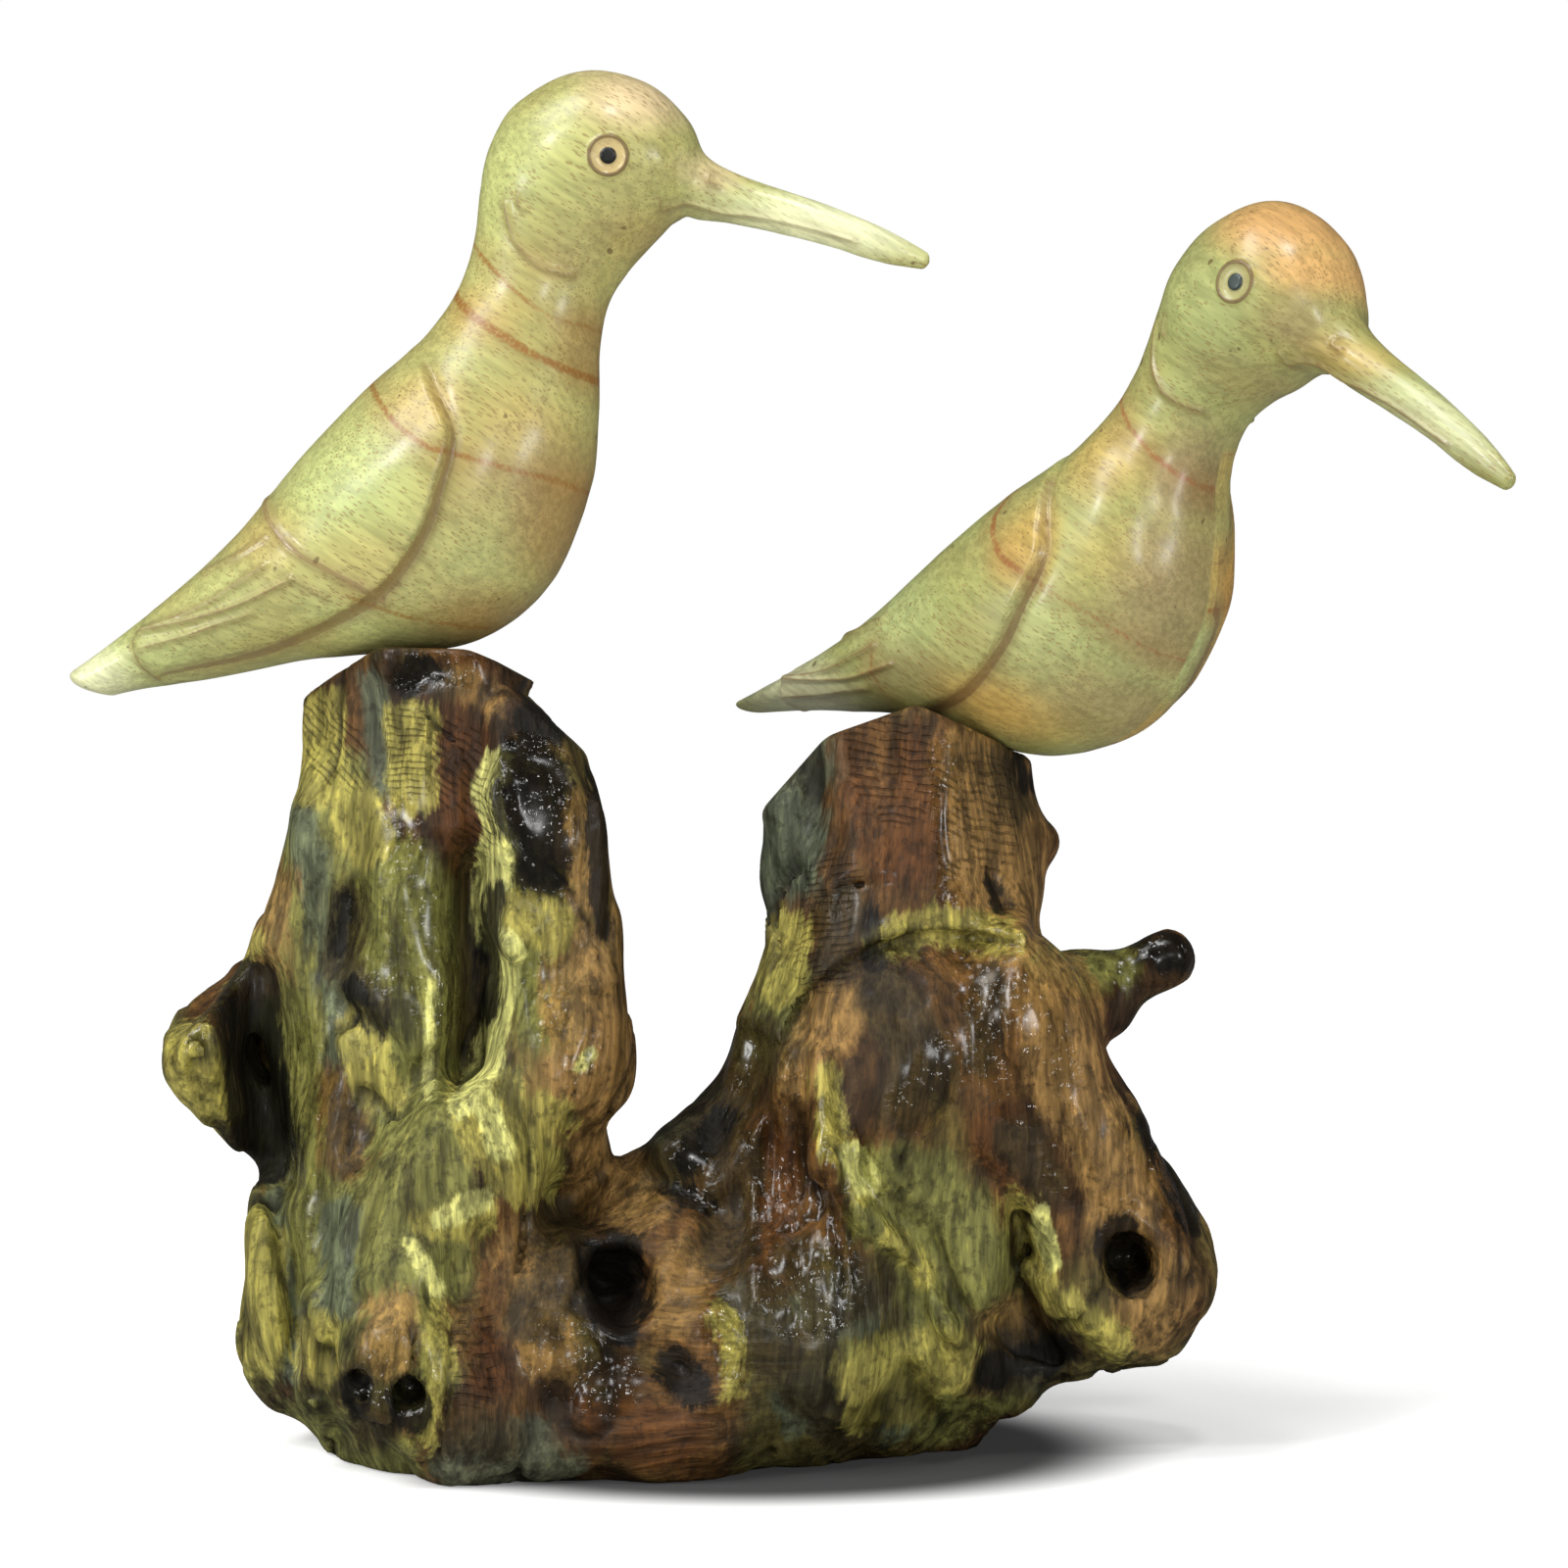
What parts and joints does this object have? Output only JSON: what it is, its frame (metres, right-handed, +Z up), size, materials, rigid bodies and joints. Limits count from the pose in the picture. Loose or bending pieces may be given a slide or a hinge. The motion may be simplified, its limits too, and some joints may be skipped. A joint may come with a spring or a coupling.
{
  "type": "pair of carved wooden birds on a root stand",
  "caption": "Long-billed carved wooden shorebirds with folded wings, resting on the sawn stubs of a varnished, forked driftwood root.",
  "frame": {"origin": "on the ground, under the middle of the group's box", "axes": "+X to the right seen from the front, the way the left bird's bill points; +Y to the back; +Z up"},
  "size_m": [0.2121, 0.1062, 0.2098],
  "materials": {
    "left_bird_wood": "polished satin, pale yellow-green with brown carved lines",
    "right_bird_wood": "polished satin, pale ochre with an orange-tan crown",
    "root_wood": "thick glossy varnish over olive, mustard, brown and black weathered wood"
  },
  "bodies": {
    "root": {"bird_left": "left_bird_wood", "bird_right": "right_bird_wood", "root_base": "root_wood"}
  },
  "joints": []
}
